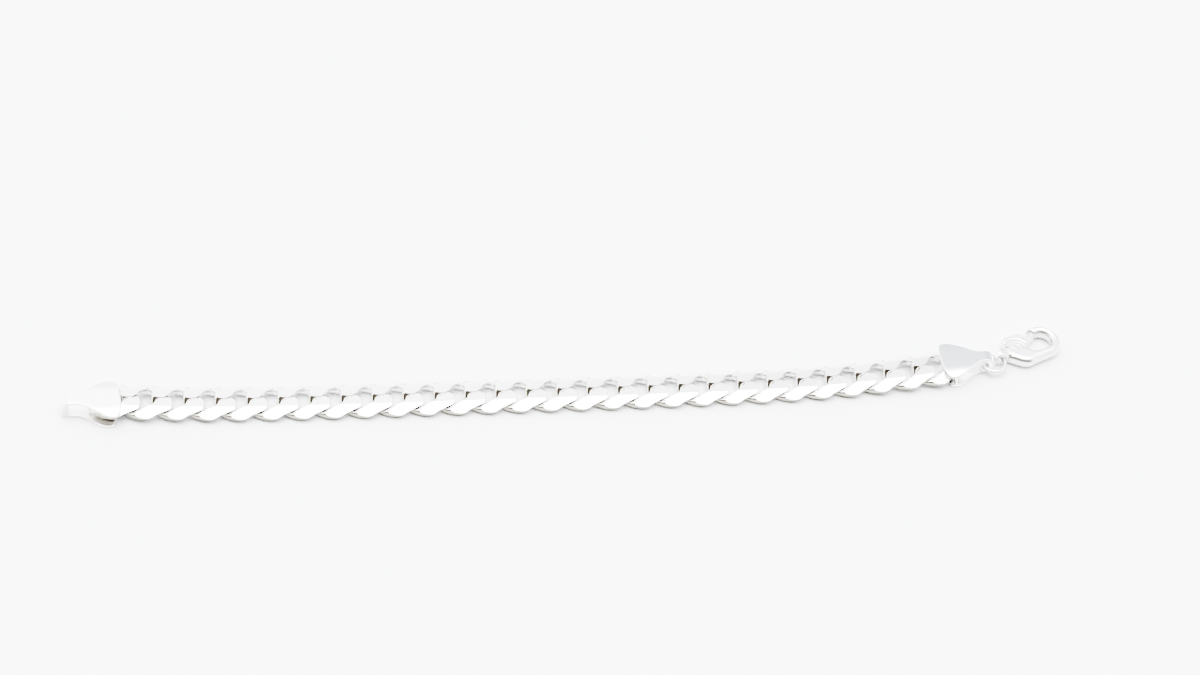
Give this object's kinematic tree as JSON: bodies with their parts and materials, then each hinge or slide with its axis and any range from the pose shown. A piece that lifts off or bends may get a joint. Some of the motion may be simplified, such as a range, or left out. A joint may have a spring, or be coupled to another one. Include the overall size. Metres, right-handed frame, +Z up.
{
  "type": "link bracelet",
  "caption": "Open flat bevelled curb-link bracelet in polished silver, with folded end caps, a jump ring and a sprung lobster clasp, for wearing on the wrist.",
  "frame": {"origin": "on the surface that the bracelet lies on, under the middle of its bounding box", "axes": "+X along the middle of the chain towards the clasp, +Z up from the surface, +Y to the left of the way to the clasp"},
  "size_m": [0.198, 0.0174, 0.0039],
  "materials": {
    "silver": "polished silver, lightly mirror-like"
  },
  "bodies": {
    "bracelet": {"cap_start": "silver", "cap_end": "silver", "jump_ring": "silver", "clasp_body": "silver", "clasp_pin": "silver", "link_01": "silver", "link_02": "silver", "link_03": "silver", "link_04": "silver", "link_05": "silver", "link_06": "silver", "link_07": "silver", "link_08": "silver", "link_09": "silver", "link_10": "silver", "link_11": "silver", "link_12": "silver", "link_13": "silver", "link_14": "silver", "link_15": "silver", "link_16": "silver", "link_17": "silver", "link_18": "silver", "link_19": "silver", "link_20": "silver", "link_21": "silver", "link_22": "silver", "link_23": "silver", "link_24": "silver", "link_25": "silver", "link_26": "silver", "link_27": "silver", "link_28": "silver"},
    "lever": {"clasp_lever": "silver"}
  },
  "joints": [
    {"name": "lever_hinge", "type": "hinge", "parent": "bracelet", "child": "lever", "pos_m": [0.08946, 0.0028, 0.0013], "axis": [0, 0, -1], "range_deg": [0, 22], "stiffness_Nm_per_rad": 0.0002, "springref_deg": -17.19}
  ]
}
